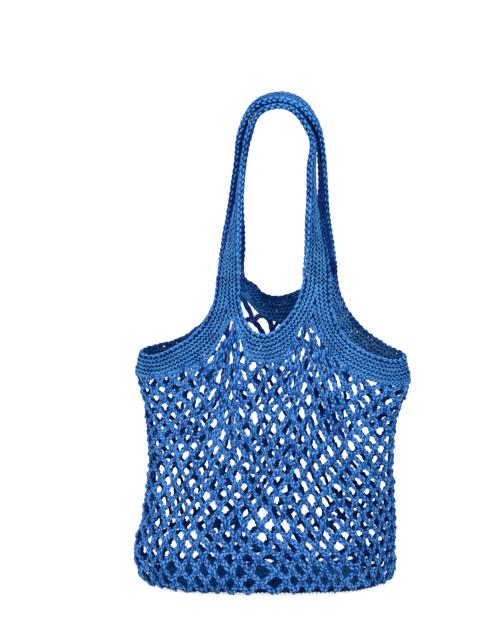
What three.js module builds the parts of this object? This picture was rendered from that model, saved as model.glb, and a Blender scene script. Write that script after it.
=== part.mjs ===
// Crocheted net tote bag, held up by its two shoulder straps. Millimetres, +Z up, front towards -Y.
// Heights are measured from the base while it is shaped, then the whole bag is hung from the origin.
import * as THREE from 'three';

// Bag body
const bodyWidth = 344;
const bodyDepth = 134;
const netWall = 6;
const baseThickness = 6;

// Mouth band
const rimHeight = 309;
const bandHeight = 36;
const frontNeckHeight = 339;
const backNeckHeight = 378;
const rootHeight = 408;

// Straps
const strapWidth = 36;
const strapThickness = 7;
const frontApexHeight = 630;
const backApexRise = 8.2;
const apexOffset = 12;
const strapCurl = 2.5;
const apexTilt = 9;

// Gap left between two pieces that are worked into each other
const seam = 0.4;

// Net: gaps around the bag, rows of gaps, and edge points between two corners of the lattice
const netColumns = 16;
const netRows = 7;
const edgePoints = 3;
const gapShare = { corner: 0.66, side: 0.76 };

// Mouth band: quads from its lower to its upper edge, and quads across one strap root
const bandQuads = 5;
const rootQuads = 5;

// Strap: rings from one root to the other
const strapRings = 54;

// Columns of the band, so that it meets the net's edge point for point
const bandColumns = netColumns * 2 * edgePoints;

// Horizontal sections, bottom to top. height: share of rimHeight. width, shift: shares of bodyWidth.
// depth: share of bodyDepth. square: exponent of the superellipse, 2 is an ellipse. turn: degrees,
// anticlockwise from above, by which the soft bag is wrung at that height.
const sections = [
  { height: 0.000, width: 0.900, depth: 0.70, shift: -0.019, square: 2.8, turn: 8.0 },
  { height: 0.026, width: 0.970, depth: 0.88, shift: -0.022, square: 2.8, turn: 8.0 },
  { height: 0.065, width: 0.995, depth: 0.97, shift: -0.024, square: 2.8, turn: 7.5 },
  { height: 0.146, width: 1.000, depth: 1.00, shift: -0.025, square: 2.7, turn: 7.0 },
  { height: 0.227, width: 0.985, depth: 0.97, shift: -0.020, square: 2.6, turn: 6.0 },
  { height: 0.325, width: 0.962, depth: 0.90, shift: -0.014, square: 2.5, turn: 4.5 },
  { height: 0.422, width: 0.954, depth: 0.84, shift: -0.008, square: 2.4, turn: 3.0 },
  { height: 0.536, width: 0.954, depth: 0.78, shift: -0.005, square: 2.35, turn: 1.5 },
  { height: 0.636, width: 0.954, depth: 0.73, shift: -0.003, square: 2.3, turn: 0.5 },
  { height: 0.721, width: 0.974, depth: 0.70, shift: 0.003, square: 2.3, turn: 0 },
  { height: 0.805, width: 1.023, depth: 0.66, shift: 0.008, square: 2.2, turn: 0 },
  { height: 0.880, width: 1.041, depth: 0.63, shift: 0.006, square: 2.2, turn: 0 },
  { height: 1.000, width: 1.020, depth: 0.60, shift: 0.000, square: 2.2, turn: 0 },
  { height: 1.320, width: 0.977, depth: 0.45, shift: 0.000, square: 2.2, turn: 0 },
  { height: 1.450, width: 0.977, depth: 0.42, shift: 0.000, square: 2.2, turn: 0 },
];

// Folds of the cloth, each along a line seen from the front. x0, x1, width: shares of bodyWidth.
// z0, z1: shares of rimHeight. depth: share of bodyDepth, outwards. face: -1 front, 1 back.
const folds = [
  { face: -1, x0: -0.14, z0: 1.06, x1: -0.30, z1: 0.42, width: 0.050, depth: -0.050 },
  { face: -1, x0: -0.12, z0: 1.02, x1: -0.10, z1: 0.50, width: 0.045, depth: 0.055 },
  { face: -1, x0: -0.05, z0: 0.96, x1: -0.26, z1: 0.30, width: 0.040, depth: -0.045 },
  { face: -1, x0: 0.17, z0: 1.05, x1: 0.02, z1: 0.46, width: 0.055, depth: 0.060 },
  { face: -1, x0: 0.14, z0: 0.98, x1: -0.02, z1: 0.60, width: 0.030, depth: -0.040 },
  { face: -1, x0: 0.21, z0: 1.02, x1: 0.27, z1: 0.50, width: 0.050, depth: -0.055 },
  { face: -1, x0: -0.40, z0: 0.62, x1: -0.22, z1: 0.26, width: 0.045, depth: 0.045 },
  { face: -1, x0: 0.40, z0: 0.66, x1: 0.30, z1: 0.22, width: 0.050, depth: 0.040 },
  { face: 1, x0: -0.16, z0: 1.08, x1: -0.26, z1: 0.40, width: 0.050, depth: -0.050 },
  { face: 1, x0: 0.20, z0: 1.08, x1: 0.08, z1: 0.45, width: 0.055, depth: 0.055 },
  { face: 1, x0: -0.02, z0: 0.95, x1: -0.08, z1: 0.35, width: 0.055, depth: -0.045 },
  { face: 1, x0: 0.24, z0: 1.00, x1: 0.32, z1: 0.35, width: 0.050, depth: -0.045 },
];

// Strap roots, anticlockwise from above, starting at the right end. centre: share of bodyWidth.
// gather: width of the root, share of strapWidth. peak: height of the net's point under the root, share
// of rimHeight. aside: that point's place beside the root's centre. outer, inner: its half widths away
// from and towards the middle of the bag; all three are shares of bodyWidth.
const roots = [
  { strap: 'back', end: 'right', face: 1, centre: 0.192, gather: 1.00,
    peak: 1.230, aside: -0.020, outer: 0.090, inner: 0.052 },
  { strap: 'back', end: 'left', face: 1, centre: -0.166, gather: 0.94,
    peak: 1.230, aside: 0.020, outer: 0.080, inner: 0.048 },
  { strap: 'front', end: 'left', face: -1, centre: -0.155, gather: 0.84,
    peak: 1.150, aside: 0.017, outer: 0.064, inner: 0.046 },
  { strap: 'front', end: 'right', face: -1, centre: 0.176, gather: 1.00,
    peak: 1.142, aside: -0.042, outer: 0.100, inner: 0.050 },
];

// Free edges of the mouth, each from one root to the next. low: height of the lowest point. lowAt: its
// place between the roots, from -1 to 1. before, after: exponents of the curve on either side of it.
const edges = [
  { low: backNeckHeight, lowAt: 0.05, before: 1.9, after: 1.9 },
  { low: rimHeight, lowAt: 0, before: 2.3, after: 2.3 },
  { low: frontNeckHeight, lowAt: -0.2, before: 2.3, after: 1.6 },
  { low: rimHeight, lowAt: 0, before: 2.3, after: 2.1 },
];

// Straps from root to apex. rise: share of the way up from the roots. left, right: distance from the
// apex, shares of the distance at the root. lean: distance from the middle plane, share of that at
// the root. leftTwist, rightTwist: turn of the strap's width from sideways to front-to-back, in which
// its outer edge goes inwards between the straps, share of a quarter turn.
const strapStations = {
  front: [
    { rise: 0.00, left: 1.000, right: 1.000, lean: 1.00, leftTwist: 0.000, rightTwist: 0.000 },
    { rise: 0.10, left: 0.972, right: 0.985, lean: 0.92, leftTwist: 0.340, rightTwist: 0.380 },
    { rise: 0.20, left: 0.935, right: 0.955, lean: 0.82, leftTwist: 0.520, rightTwist: 0.600 },
    { rise: 0.35, left: 0.860, right: 0.880, lean: 0.71, leftTwist: 0.730, rightTwist: 0.800 },
    { rise: 0.50, left: 0.784, right: 0.838, lean: 0.56, leftTwist: 0.870, rightTwist: 0.930 },
    { rise: 0.65, left: 0.731, right: 0.819, lean: 0.39, leftTwist: 0.930, rightTwist: 0.955 },
    { rise: 0.78, left: 0.668, right: 0.850, lean: 0.22, leftTwist: 0.950, rightTwist: 1.045 },
    { rise: 0.88, left: 0.572, right: 0.685, lean: 0.10, leftTwist: 0.950, rightTwist: 0.960 },
    { rise: 0.96, left: 0.425, right: 0.422, lean: 0.03, leftTwist: 0.910, rightTwist: 0.940 },
  ],
  back: [
    { rise: 0.00, left: 1.000, right: 1.000, lean: 1.00, leftTwist: 0.000, rightTwist: 0.000 },
    { rise: 0.10, left: 0.971, right: 1.000, lean: 0.92, leftTwist: 0.310, rightTwist: 0.320 },
    { rise: 0.20, left: 0.940, right: 0.990, lean: 0.82, leftTwist: 0.510, rightTwist: 0.500 },
    { rise: 0.35, left: 0.905, right: 0.975, lean: 0.71, leftTwist: 0.750, rightTwist: 0.700 },
    { rise: 0.50, left: 0.865, right: 0.980, lean: 0.56, leftTwist: 0.870, rightTwist: 0.830 },
    { rise: 0.65, left: 0.803, right: 0.949, lean: 0.39, leftTwist: 0.940, rightTwist: 0.850 },
    { rise: 0.78, left: 0.770, right: 0.892, lean: 0.22, leftTwist: 0.980, rightTwist: 0.880 },
    { rise: 0.88, left: 0.668, right: 0.745, lean: 0.10, leftTwist: 1.050, rightTwist: 0.990 },
    { rise: 0.96, left: 0.470, right: 0.455, lean: 0.03, leftTwist: 1.090, rightTwist: 1.080 },
  ],
};

// Share of the way up over which a gathered root opens to the strap's full width
const openingRise = 0.3;

const cotton = { roughness: 0.85, metalness: 0 };

// Smooth value of one column of a table at a place between its rows
function along(table, key, at, column) {
  let i = 0;
  while (i < table.length - 2 && table[i + 1][key] < at) i += 1;
  const last = table.length - 1;
  const rows = [Math.max(i - 1, 0), i, i + 1, Math.min(i + 2, last)].map((row) => table[row]);
  const step = rows[2][key] - rows[1][key];
  const f = THREE.MathUtils.clamp((at - rows[1][key]) / step, 0, 1);
  const slope = (a, b) => (b[column] - a[column]) / Math.max(b[key] - a[key], 1e-9);
  const before = slope(rows[0], rows[2]) * step;
  const after = slope(rows[1], rows[3]) * step;
  const [p, q] = [rows[1][column], rows[2][column]];
  const bend = (p - q) * 2 + before + after;
  return ((bend * f + (q - p) * 3 - before * 2 - after) * f + before) * f + p;
}

// Size, place and squareness of the horizontal section at a height
function sectionAt(z) {
  const at = z / rimHeight;
  return {
    a: along(sections, 'height', at, 'width') * bodyWidth / 2,
    b: along(sections, 'height', at, 'depth') * bodyDepth / 2,
    shift: along(sections, 'height', at, 'shift') * bodyWidth,
    power: 2 / along(sections, 'height', at, 'square'),
    turn: THREE.MathUtils.degToRad(along(sections, 'height', at, 'turn')),
  };
}

const signedPower = (value, power) => Math.sign(value) * Math.abs(value) ** power;

// Point of the plain section at an angle, 0 at the right end and a quarter turn at the back
function plainPoint(angle, z) {
  const { a, b, shift, power, turn } = sectionAt(z);
  const [x, y] = [a * signedPower(Math.cos(angle), power), b * signedPower(Math.sin(angle), power)];
  const point = new THREE.Vector2(x, y);
  point.rotateAround(new THREE.Vector2(), turn);
  point.x += shift;
  return point;
}

// Even steps round the bag: the share of the way round at each of many angles of a middle section
const angleSteps = 720;
const shareAtAngle = [0];
for (let i = 1; i <= angleSteps; i += 1) {
  const [from, to] = [i - 1, i].map((n) => plainPoint(n * 2 * Math.PI / angleSteps, rimHeight / 2));
  shareAtAngle.push(shareAtAngle[i - 1] + from.distanceTo(to));
}
const girth = shareAtAngle[angleSteps];

function angleOf(share) {
  const target = (share - Math.floor(share)) * girth;
  let i = 1;
  while (i < angleSteps && shareAtAngle[i] < target) i += 1;
  const part = (target - shareAtAngle[i - 1]) / (shareAtAngle[i] - shareAtAngle[i - 1]);
  return (i - 1 + part) * 2 * Math.PI / angleSteps;
}

// Share of the way round at which the section has a given x, on the front or the back face
function shareOfX(x, face, z) {
  const { a, shift, power } = sectionAt(z);
  const cosine = signedPower(THREE.MathUtils.clamp((x - shift) / a, -1, 1), 1 / power);
  const angle = face > 0 ? Math.acos(cosine) : 2 * Math.PI - Math.acos(cosine);
  const i = Math.min(Math.floor(angle / (2 * Math.PI) * angleSteps), angleSteps - 1);
  const part = angle / (2 * Math.PI) * angleSteps - i;
  return THREE.MathUtils.lerp(shareAtAngle[i], shareAtAngle[i + 1], part) / girth;
}

// How far the folds move the cloth outwards at a point of the plain section
function foldAt(x, y, z) {
  let total = 0;
  for (const fold of folds) {
    const from = new THREE.Vector3(fold.x0 * bodyWidth, fold.z0 * rimHeight, 0);
    const to = new THREE.Vector3(fold.x1 * bodyWidth, fold.z1 * rimHeight, 0);
    const point = new THREE.Vector3(x, z, 0);
    const near = new THREE.Line3(from, to).closestPointToPoint(point, true, new THREE.Vector3());
    const away = near.distanceTo(point) / (fold.width * bodyWidth);
    const facing = THREE.MathUtils.smoothstep(fold.face * y / bodyDepth, 0.05, 0.2);
    total += fold.depth * bodyDepth * facing * Math.exp(-away * away);
  }
  return total;
}

// Point of the cloth, at a share of the way round, a height, and a depth below its outer face
function clothPoint(share, z, depth) {
  const angle = angleOf(share);
  const [before, here, after] = [-1, 0, 1].map((n) => plainPoint(angle + n * 0.01, z));
  const normal = new THREE.Vector2(after.y - before.y, before.x - after.x).normalize();
  here.addScaledVector(normal, foldAt(here.x, here.y, z) - depth);
  return new THREE.Vector3(here.x, here.y, z);
}

// Height of the line where the net meets the mouth band: low at the bag's ends, with a point at each root
function netTop(share) {
  const spot = plainPoint(angleOf(share), rimHeight);
  const neck = spot.y > 0 ? backNeckHeight : frontNeckHeight;
  const inwards = THREE.MathUtils.smoothstep(1 - Math.abs(spot.x) * 2 / bodyWidth, 0, 0.75);
  const plain = THREE.MathUtils.lerp(rimHeight, neck, inwards) - bandHeight;
  let top = plain;
  for (const root of roots) {
    if (root.face * spot.y <= 0) continue;
    const out = (spot.x - (root.centre + root.aside) * bodyWidth) * (root.end === 'right' ? 1 : -1);
    const away = out / ((out > 0 ? root.outer : root.inner) * bodyWidth);
    top += (root.peak * rimHeight - plain) * Math.exp(-away * away);
  }
  return top;
}

// Height of the band's lower edge, a seam's width off the net along the slope of that line
function bandLow(share) {
  const step = 1 / bandColumns;
  const here = netTop(share);
  const rises = [here - netTop(share - step), netTop(share + step) - here].map(Math.abs);
  return here + seam * Math.hypot(1, Math.max(...rises) / (step * girth));
}

// Columns of the mouth band that run up the two edges of each strap root, and where they end
const anchors = roots.map((root) => {
  const edge = root.face * root.gather * strapWidth / 2;
  const centre = root.centre * bodyWidth;
  const [first, last] = [edge, -edge].map((e) => shareOfX(centre + e, root.face, rootHeight));
  const column = Math.round((first + last) / 2 * bandColumns - rootQuads / 2);
  return { first, last, column };
});

// Share of the way round at which a column of the mouth band reaches its upper edge, and its height
function bandTop(column) {
  for (const [i, anchor] of anchors.entries()) {
    const into = (column - anchor.column + bandColumns) % bandColumns;
    if (into <= rootQuads) {
      const share = THREE.MathUtils.lerp(anchor.first, anchor.last, into / rootQuads);
      return { share, z: rootHeight };
    }
    const next = anchors[(i + 1) % anchors.length];
    const count = (next.column - anchor.column - rootQuads + bandColumns) % bandColumns;
    if (into - rootQuads < count) {
      const part = (1 - Math.cos((into - rootQuads) / count * Math.PI)) / 2;
      const span = (next.first - anchor.last + 1) % 1;
      return { share: anchor.last + span * part, z: edgeHeight(i, part * 2 - 1) };
    }
  }
  return null;
}

// Height of the free edge after root i, from -1 at that root to 1 at the next
function edgeHeight(i, part) {
  const { low, lowAt, before, after } = edges[i];
  const away = part < lowAt ? (lowAt - part) / (lowAt + 1) : (part - lowAt) / (1 - lowAt);
  const round = part < lowAt ? before : after;
  return low + (rootHeight - low) * (1 - (1 - Math.min(away, 1) ** round) ** (1 / round));
}

// Collects points and triangles of one closed piece
class Solid {
  constructor() {
    this.points = [];
    this.faces = [];
  }

  add(point) {
    this.points.push(point.x, point.y, point.z);
    return this.points.length / 3 - 1;
  }

  quad(a, b, c, d) {
    this.faces.push(a, b, c, a, c, d);
  }

  mesh(name, colour) {
    const geometry = new THREE.BufferGeometry();
    geometry.setAttribute('position', new THREE.Float32BufferAttribute(this.points, 3));
    geometry.setIndex(this.faces);
    geometry.computeVertexNormals();
    const mesh = new THREE.Mesh(geometry, new THREE.MeshStandardMaterial({ color: colour, ...cotton }));
    mesh.name = name;
    return mesh;
  }
}

// Net body: a tube of cloth with diamond gaps in staggered rows, plain along both edges
function makeNet() {
  const solid = new Solid();
  const known = new Map();
  const bottom = baseThickness + seam;

  // Two points, on the outer and inner face, at a column and row of the lattice
  function pair(column, row) {
    const share = (column / netColumns + 1) % 1;
    const key = `${Math.round(share * 1e6) % 1e6} ${Math.round(row * 1e6)}`;
    if (!known.has(key)) {
      const z = THREE.MathUtils.lerp(bottom, netTop(share), row / (netRows + 1));
      known.set(key, [0, netWall].map((depth) => solid.add(clothPoint(share, z, depth))));
    }
    return known.get(key);
  }

  function wall(line, closed) {
    for (let i = 0; i < line.length - (closed ? 0 : 1); i += 1) {
      const [p, q] = [line[i], line[(i + 1) % line.length]];
      solid.quad(p[0], p[1], q[1], q[0]);
    }
  }

  // Corners and side middles of the diamond round a lattice point, anticlockwise from the right
  const upper = [[0.5, 0], [0.25, 0.5], [0, 1], [-0.25, 0.5]];
  const outline = [...upper, ...upper.map(([u, v]) => [-u, -v])];

  function diamond(column, row) {
    const rim = outline.map(([u, v]) => pair(column + u, row + v));
    const gap = outline.map(([u, v], i) => {
      const share = i % 2 ? gapShare.side : gapShare.corner;
      return pair(column + u * share, row + v * share);
    });
    for (let i = 0; i < outline.length; i += 1) {
      const j = (i + 1) % outline.length;
      solid.quad(rim[i][0], rim[j][0], gap[j][0], gap[i][0]);
      solid.quad(rim[j][1], rim[i][1], gap[i][1], gap[j][1]);
    }
    wall(gap.reverse(), true);
  }

  // Plain triangle between two diamonds at the upper or lower edge
  function halfDiamond(column, row, way) {
    const edge = [];
    for (let i = -edgePoints; i <= edgePoints; i += 1) edge.push(pair(column + i / edgePoints / 2, row));
    const sides = [[0.25, 0.5], [0, 1], [-0.25, 0.5]].map(([u, v]) => pair(column + u, row - way * v));
    const centre = pair(column, row - way * 0.4);
    const ring = [...edge, ...sides];
    for (let i = 0; i < ring.length; i += 1) {
      const [p, q] = [ring[i], ring[(i + 1) % ring.length]];
      const faces = way > 0 ? [[q, p, 0], [p, q, 1]] : [[p, q, 0], [q, p, 1]];
      for (const [from, to, side] of faces) solid.faces.push(centre[side], from[side], to[side]);
    }
    wall(way > 0 ? edge.reverse() : edge, false);
  }

  for (let row = 1; row <= netRows; row += 1) {
    for (let i = 0; i < netColumns; i += 1) diamond(i + (row % 2) / 2, row);
  }
  for (let i = 0; i < netColumns; i += 1) {
    halfDiamond(i, 0, -1);
    halfDiamond(i + ((netRows + 1) % 2) / 2, netRows + 1, 1);
  }
  return solid.mesh('net_body', 0x1f63c6);
}

// Mouth band: a ring of close stitches whose upper edge rises to the four strap roots
function makeBand() {
  const solid = new Solid();
  const columns = [];
  for (let column = 0; column < bandColumns; column += 1) {
    const share = column / bandColumns;
    const top = bandTop(column);
    const low = bandLow(share);
    const aside = (top.share - share + 1.5) % 1 - 0.5;
    const skins = [0, netWall].map((depth) => {
      const line = [];
      for (let i = 0; i <= bandQuads; i += 1) {
        const part = i / bandQuads;
        const z = THREE.MathUtils.lerp(low, top.z, part);
        line.push(solid.add(clothPoint(share + aside * part, z, depth)));
      }
      return line;
    });
    columns.push(skins);
  }
  for (const [i, [outer, inner]] of columns.entries()) {
    const [nextOuter, nextInner] = columns[(i + 1) % columns.length];
    for (let j = 0; j < bandQuads; j += 1) {
      solid.quad(outer[j], nextOuter[j], nextOuter[j + 1], outer[j + 1]);
      solid.quad(nextInner[j], inner[j], inner[j + 1], nextInner[j + 1]);
    }
    solid.quad(outer[0], inner[0], nextInner[0], nextOuter[0]);
    solid.quad(outer[bandQuads], nextOuter[bandQuads], nextInner[bandQuads], inner[bandQuads]);
  }
  return solid.mesh('mouth_band', 0x1d5fc0);
}

// Inner points, then outer points, of the cut across a strap root, from its far to its near edge
function rootRing(root) {
  const anchor = anchors[roots.indexOf(root)];
  const shares = [];
  for (let i = 0; i <= rootQuads; i += 1) {
    shares.push(THREE.MathUtils.lerp(anchor.first, anchor.last, i / rootQuads));
  }
  const farFirst = (root.end === 'right') === (root.face > 0);
  if (!farFirst) shares.reverse();
  const row = (depth) => shares.map((share) => clothPoint(share, rootHeight + seam, depth));
  return [...row(netWall), ...row(0).reverse()];
}

function ringCentre(ring) {
  return ring.reduce((sum, p) => sum.add(p), new THREE.Vector3()).divideScalar(ring.length);
}

const mineAt = (strap, end) => roots.find((root) => root.strap === strap && root.end === end);

// Middle line and twist of a strap, as one smooth curve each, from its left root to its right root
function strapCourse(strap, ends) {
  const apexHeight = frontApexHeight + (strap === 'back' ? backApexRise : 0);
  const centres = { left: ringCentre(ends.left), right: ringCentre(ends.right) };
  const station = (side) => (row) => {
    const root = centres[side];
    const x = THREE.MathUtils.lerp(apexOffset, root.x, row[side]);
    const z = THREE.MathUtils.lerp(root.z, apexHeight, row.rise);
    return { point: new THREE.Vector3(x, root.y * row.lean, z), twist: row[`${side}Twist`] };
  };
  const rows = strapStations[strap];
  const tilt = apexTilt / 90 * (strap === 'back' ? 1 : -1);
  const apex = { point: new THREE.Vector3(apexOffset, 0, apexHeight), twist: 1 + tilt };
  const stops = [...rows.map(station('left')), apex, ...rows.map(station('right')).reverse()];
  const line = new THREE.CatmullRomCurve3(stops.map((s) => s.point), false, 'centripetal');
  const turn = new THREE.CatmullRomCurve3(stops.map((s) => new THREE.Vector3(s.twist, 0, 0)));
  const bottom = Math.max(centres.left.z, centres.right.z);
  const widthAt = (point) => {
    const root = mineAt(strap, point.x < apexOffset ? 'left' : 'right');
    const open = THREE.MathUtils.smoothstep((point.z - bottom) / (apexHeight - bottom), 0, openingRise);
    return strapWidth * THREE.MathUtils.lerp(root.gather, 1, open);
  };
  return { line, turn, widthAt };
}

// Ring of a strap: a flat section, a little curled, whose width turns about the middle line
function strapRing(course, face, at) {
  const middle = course.line.getPoint(at);
  const tangent = course.line.getTangent(at);
  const out = new THREE.Vector3(-tangent.z, 0, tangent.x).normalize();
  const turn = -Math.max(course.turn.getPoint(at).x, 0) * Math.PI / 2;
  const depthwise = new THREE.Vector3().crossVectors(out, tangent).normalize();
  const [cosine, sine] = [Math.cos(turn), Math.sin(turn)];
  const across = out.clone().multiplyScalar(cosine).addScaledVector(depthwise, face * sine);
  const outer = out.clone().multiplyScalar(sine).addScaledVector(depthwise, -face * cosine);
  const halfWidth = course.widthAt(middle) / 2;
  const ring = [];
  for (const side of [1, -1]) {
    for (let i = 0; i <= rootQuads; i += 1) {
      const s = side * (1 - i / rootQuads * 2);
      const rise = side * strapThickness / 2 - strapCurl * sine * (s * s - 0.5);
      ring.push(middle.clone().addScaledVector(across, s * halfWidth).addScaledVector(outer, rise));
    }
  }
  return ring;
}

function makeStrap(strap) {
  const solid = new Solid();
  const mine = roots.filter((root) => root.strap === strap);
  const ends = {};
  for (const root of mine) ends[root.end] = rootRing(root);
  const course = strapCourse(strap, ends);
  const rings = [ends.left];
  for (let i = 1; i < strapRings; i += 1) rings.push(strapRing(course, mine[0].face, i / strapRings));
  rings.push(ends.right);
  const indexed = rings.map((ring) => ring.map((point) => solid.add(point)));
  const size = indexed[0].length;
  const flip = mine[0].face > 0;
  const face = (a, b, c) => solid.faces.push(...(flip ? [a, b, c] : [a, c, b]));
  for (let i = 0; i < strapRings; i += 1) {
    for (let j = 0; j < size; j += 1) {
      const [a, b] = [indexed[i][j], indexed[i][(j + 1) % size]];
      const [d, c] = [indexed[i + 1][j], indexed[i + 1][(j + 1) % size]];
      face(a, b, c);
      face(a, c, d);
    }
  }
  for (let j = 0; j < rootQuads; j += 1) {
    const [first, last] = [indexed[0], indexed[strapRings]];
    const [k, l] = [size - 1 - j, size - 2 - j];
    face(first[j], first[l], first[j + 1]);
    face(first[j], first[k], first[l]);
    face(last[j], last[j + 1], last[l]);
    face(last[j], last[l], last[k]);
  }
  return solid.mesh(`strap_${strap}`, 0x1c5cba);
}

// Base: an oval of close stitches that the lowest round of the net stands on
function makeBase() {
  const solid = new Solid();
  const count = netColumns * 2 * edgePoints;
  const levels = [0, baseThickness].map((z) => {
    const ring = [];
    for (let i = 0; i < count; i += 1) ring.push(solid.add(clothPoint(i / count, z, 0)));
    const shift = sectionAt(z).shift;
    return { ring, centre: solid.add(new THREE.Vector3(shift, 0, z)) };
  });
  const [low, high] = levels;
  for (let i = 0; i < count; i += 1) {
    const j = (i + 1) % count;
    solid.quad(low.ring[i], low.ring[j], high.ring[j], high.ring[i]);
    solid.faces.push(low.centre, low.ring[j], low.ring[i], high.centre, high.ring[i], high.ring[j]);
  }
  return solid.mesh('base', 0x174fa6);
}

const bag = new THREE.Group();
bag.name = 'tote_bag';
bag.add(makeBase(), makeNet(), makeBand(), makeStrap('front'), makeStrap('back'));

// The bag hangs with the underside of the inner strap's apex at the origin
const underside = (strapThickness - strapCurl) / 2 / Math.cos(THREE.MathUtils.degToRad(apexTilt));
bag.position.set(-apexOffset, 0, underside - frontApexHeight);
bag.updateMatrixWorld(true);

export default bag;
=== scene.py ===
"""Crocheted cotton net tote bag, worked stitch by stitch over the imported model, in metres and in
the row frame.

Inside the script the bag is shaped in millimetres, with heights from its base, as its solids are.
A place on the cloth is a share of the way round (0 at the right end, the back first), a height, and
a depth below the cloth's outer face."""
import math

import bpy
import numpy as np
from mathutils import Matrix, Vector


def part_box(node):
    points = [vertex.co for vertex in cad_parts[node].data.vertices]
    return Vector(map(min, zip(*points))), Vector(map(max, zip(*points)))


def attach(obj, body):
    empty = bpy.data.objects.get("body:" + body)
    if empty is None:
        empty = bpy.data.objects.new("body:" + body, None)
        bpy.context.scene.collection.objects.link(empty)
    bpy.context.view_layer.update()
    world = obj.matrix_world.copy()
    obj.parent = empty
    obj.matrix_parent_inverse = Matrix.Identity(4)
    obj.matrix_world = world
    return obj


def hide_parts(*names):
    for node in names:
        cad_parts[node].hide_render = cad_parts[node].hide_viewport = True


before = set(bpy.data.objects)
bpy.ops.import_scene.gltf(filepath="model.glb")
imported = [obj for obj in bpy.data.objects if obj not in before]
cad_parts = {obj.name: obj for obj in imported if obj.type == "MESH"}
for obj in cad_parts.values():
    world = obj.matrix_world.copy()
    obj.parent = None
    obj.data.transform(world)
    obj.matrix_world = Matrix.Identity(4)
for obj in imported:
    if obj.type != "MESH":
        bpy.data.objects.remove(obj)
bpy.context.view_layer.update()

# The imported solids' boxes, in millimetres
MM = 1000.0
base_low, base_high = (np.array(c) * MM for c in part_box("base"))
net_low, net_high = (np.array(c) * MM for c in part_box("net_body"))
_, band_high = (np.array(c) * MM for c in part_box("mouth_band"))
inner_low, inner_high = (np.array(c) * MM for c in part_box("strap_front"))
_, outer_high = (np.array(c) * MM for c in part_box("strap_back"))

# Lengths in the part's source, and the net's box and top there
SOURCE_WIDTH, SOURCE_DEPTH = 344, 134
SOURCE_RIM, SOURCE_FRONT_NECK, SOURCE_BACK_NECK = 309, 339, 378
NET_BOX_WIDTH, NET_BOX_DEPTH = 361.4, 146.4
NET_TOP_PER_RIM = 1.2295

# Sizes of the bag
GROUND = base_low[2]
BASE_THICKNESS = base_high[2] - base_low[2]
BODY_WIDTH = (net_high[0] - net_low[0]) * SOURCE_WIDTH / NET_BOX_WIDTH
BODY_DEPTH = (net_high[1] - net_low[1]) * SOURCE_DEPTH / NET_BOX_DEPTH
RIM_HEIGHT = (net_high[2] - GROUND) / NET_TOP_PER_RIM
FRONT_NECK = RIM_HEIGHT * SOURCE_FRONT_NECK / SOURCE_RIM
BACK_NECK = RIM_HEIGHT * SOURCE_BACK_NECK / SOURCE_RIM
ROOT_HEIGHT = band_high[2] - GROUND
SEAM = inner_low[2] - band_high[2]
WALL = 6.0
BAND_HEIGHT = 36.0
STRAP_THICKNESS, STRAP_CURL, STRAP_WIDTH = 7.0, 2.5, 36.0
APEX_TILT = 9.0
APEX_OFFSET = 12.0
FRONT_APEX = (STRAP_THICKNESS - STRAP_CURL) / 2 / math.cos(math.radians(APEX_TILT)) - GROUND
BACK_APEX = FRONT_APEX + outer_high[2] - inner_high[2]
SHIFT = np.array([-APEX_OFFSET, 0.0, GROUND])

# The soft foot's sag: how far, up to what height, and the share that each end is held up by
SAG, SAG_TOP = 6.5, 70.0
RIGHT_HELD, LEFT_HELD = 0.15, 0.85

# Crochet sizes: plaits, close rows, the net's arches round the bag and rounds up it, and the yarn
STRANDS, STRAP_ROWS = 3, 7
ROW = STRAP_WIDTH / STRAP_ROWS
ROW_STITCH = 5.3
ARCHES, ROUNDS = 38, 22
CHAINS_PER_ARCH = 6.2
YARN = 1.75
SIDES = 5
rng = np.random.default_rng(7)
RANDOM_TURN = 6.28

# Plan of the bag, close to the solids': height by the rim's; width, depth and shift by the body's;
# squareness, where 2 is an ellipse; turn in degrees
SECTIONS = np.array([
    [0.000, 0.925, 0.72, -0.017, 2.80, 8.0],
    [0.026, 0.991, 0.90, -0.019, 2.80, 8.0],
    [0.065, 1.012, 0.98, -0.023, 2.80, 7.5],
    [0.146, 1.017, 1.01, -0.024, 2.70, 7.0],
    [0.227, 0.998, 0.97, -0.014, 2.60, 6.0],
    [0.325, 0.973, 0.90, -0.008, 2.50, 4.5],
    [0.422, 0.961, 0.84, -0.005, 2.40, 3.0],
    [0.536, 0.954, 0.78, -0.004, 2.35, 1.5],
    [0.636, 0.952, 0.73, -0.004, 2.30, 0.5],
    [0.721, 0.966, 0.70, -0.007, 2.30, 0.0],
    [0.805, 1.013, 0.66, 0.000, 2.20, 0.0],
    [0.880, 1.053, 0.63, 0.000, 2.20, 0.0],
    [0.935, 1.050, 0.62, 0.000, 2.20, 0.0],
    [1.000, 1.022, 0.60, 0.001, 2.20, 0.0],
    [1.320, 0.977, 0.45, 0.000, 2.20, 0.0],
    [1.450, 0.977, 0.42, 0.000, 2.20, 0.0],
])

# Folds, as in the solids: face, where 1 is the back; x and z of both ends; width and depth
FOLDS = np.array([
    [-1, -0.14, 1.06, -0.30, 0.42, 0.050, -0.050],
    [-1, -0.12, 1.02, -0.10, 0.50, 0.045, 0.055],
    [-1, -0.05, 0.96, -0.26, 0.30, 0.040, -0.045],
    [-1, 0.17, 1.05, 0.02, 0.46, 0.055, 0.060],
    [-1, 0.14, 0.98, -0.02, 0.60, 0.030, -0.040],
    [-1, 0.21, 1.02, 0.27, 0.50, 0.050, -0.055],
    [-1, -0.40, 0.62, -0.22, 0.26, 0.045, 0.045],
    [-1, 0.40, 0.66, 0.30, 0.22, 0.050, 0.040],
    [1, -0.16, 1.08, -0.26, 0.40, 0.050, -0.050],
    [1, 0.20, 1.08, 0.08, 0.45, 0.055, 0.055],
    [1, -0.02, 0.95, -0.08, 0.35, 0.055, -0.045],
    [1, 0.24, 1.00, 0.32, 0.35, 0.050, -0.045],
])

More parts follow.
